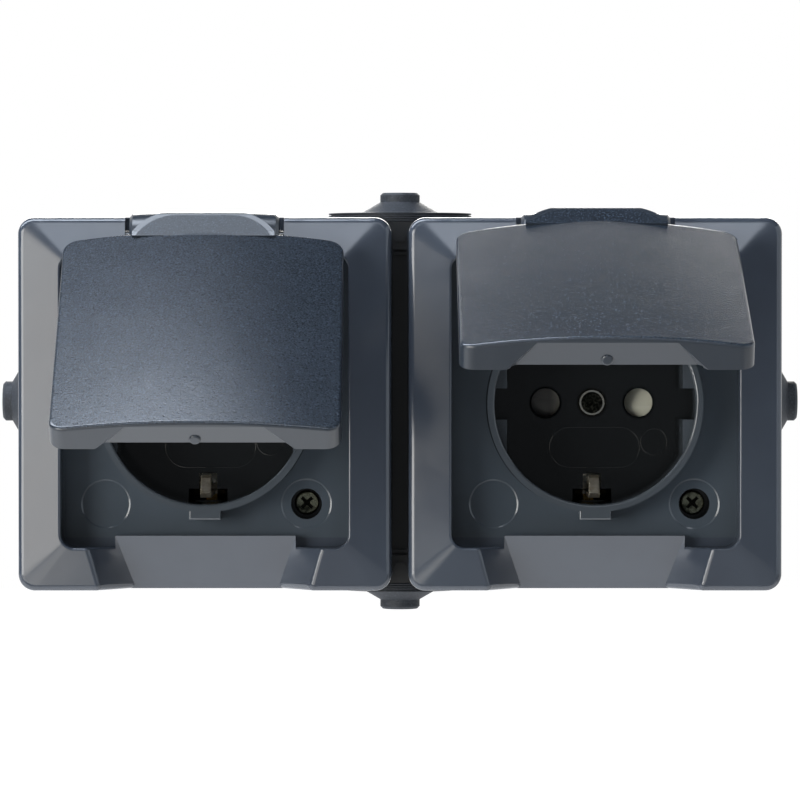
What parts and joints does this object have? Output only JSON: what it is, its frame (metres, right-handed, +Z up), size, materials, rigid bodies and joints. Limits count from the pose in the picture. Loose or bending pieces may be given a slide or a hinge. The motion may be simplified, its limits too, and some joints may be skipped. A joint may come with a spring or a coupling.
{
  "type": "double outdoor weatherproof socket",
  "caption": "Surface-mounted weatherproof earthed double socket with hinged domed lids, finger scoops and soft stepped cable entries.",
  "frame": {"origin": "centre of the back face, in the wall plane", "axes": "+X to the right as seen from the front, +Y into the wall, +Z up; the front faces -Y"},
  "size_m": [0.165, 0.1076, 0.0864],
  "materials": {
    "housing_plastic": "smooth glossy anthracite",
    "lid_plastic": "fine-grained blue-grey anthracite",
    "well_plastic": "smooth anthracite",
    "entry_rubber": "soft matt anthracite",
    "seal_rubber": "matt black",
    "shutter_plastic": "cream white",
    "carrier_plastic": "dull dark thermoset",
    "screw_metal": "nickel plated",
    "pin_metal": "drawn steel",
    "spring_metal": "spring wire",
    "contact_brass": "bare brass",
    "bow_metal": "nickel plated spring strip"
  },
  "bodies": {
    "housing": {"back_box": "housing_plastic", "cable_entry_top": "entry_rubber", "cable_entry_bottom": "entry_rubber", "cable_entry_left": "entry_rubber", "cable_entry_right": "entry_rubber", "line_link": "contact_brass", "neutral_link": "contact_brass", "earth_link": "contact_brass", "cover_left": "housing_plastic", "socket_well_left": "well_plastic", "cover_seal_left": "seal_rubber", "well_seal_left": "seal_rubber", "centre_screw_left": "screw_metal", "cover_screws_left": "screw_metal", "hinge_pin_left": "pin_metal", "shutter_spring_left": "spring_metal", "contact_carrier_left": "carrier_plastic", "line_contact_left": "contact_brass", "neutral_contact_left": "contact_brass", "earth_bow_left": "bow_metal", "clamp_screws_left": "screw_metal", "cover_right": "housing_plastic", "socket_well_right": "well_plastic", "cover_seal_right": "seal_rubber", "well_seal_right": "seal_rubber", "centre_screw_right": "screw_metal", "cover_screws_right": "screw_metal", "hinge_pin_right": "pin_metal", "shutter_spring_right": "spring_metal", "contact_carrier_right": "carrier_plastic", "line_contact_right": "contact_brass", "neutral_contact_right": "contact_brass", "earth_bow_right": "bow_metal", "clamp_screws_right": "screw_metal"},
    "lid_left": {"lid_left": "lid_plastic", "lid_seal_left": "seal_rubber"},
    "lid_right": {"lid_right": "lid_plastic", "lid_seal_right": "seal_rubber"},
    "shutter_left": {"shutter_left": "shutter_plastic"},
    "shutter_right": {"shutter_right": "shutter_plastic"}
  },
  "joints": [
    {"name": "lid_left_hinge", "type": "hinge", "parent": "housing", "child": "lid_left", "pos_m": [-0.03925, -0.049, 0.03335], "axis": [-1, 0, 0], "range_deg": [-50, 65]},
    {"name": "lid_right_hinge", "type": "hinge", "parent": "housing", "child": "lid_right", "pos_m": [0.03925, -0.049, 0.03335], "axis": [-1, 0, 0], "range_deg": [-67, 48]},
    {"name": "shutter_left_turn", "type": "hinge", "parent": "housing", "child": "shutter_left", "pos_m": [-0.03925, -0.03015, 0], "axis": [0, 1, 0], "range_deg": [0, 40], "stiffness_Nm_per_rad": 0.0008, "springref_deg": -17.19, "deforming": ["shutter_spring_left"]},
    {"name": "shutter_right_turn", "type": "hinge", "parent": "housing", "child": "shutter_right", "pos_m": [0.03925, -0.03015, 0], "axis": [0, 1, 0], "range_deg": [0, 40], "stiffness_Nm_per_rad": 0.0008, "springref_deg": -17.19, "deforming": ["shutter_spring_right"]}
  ]
}
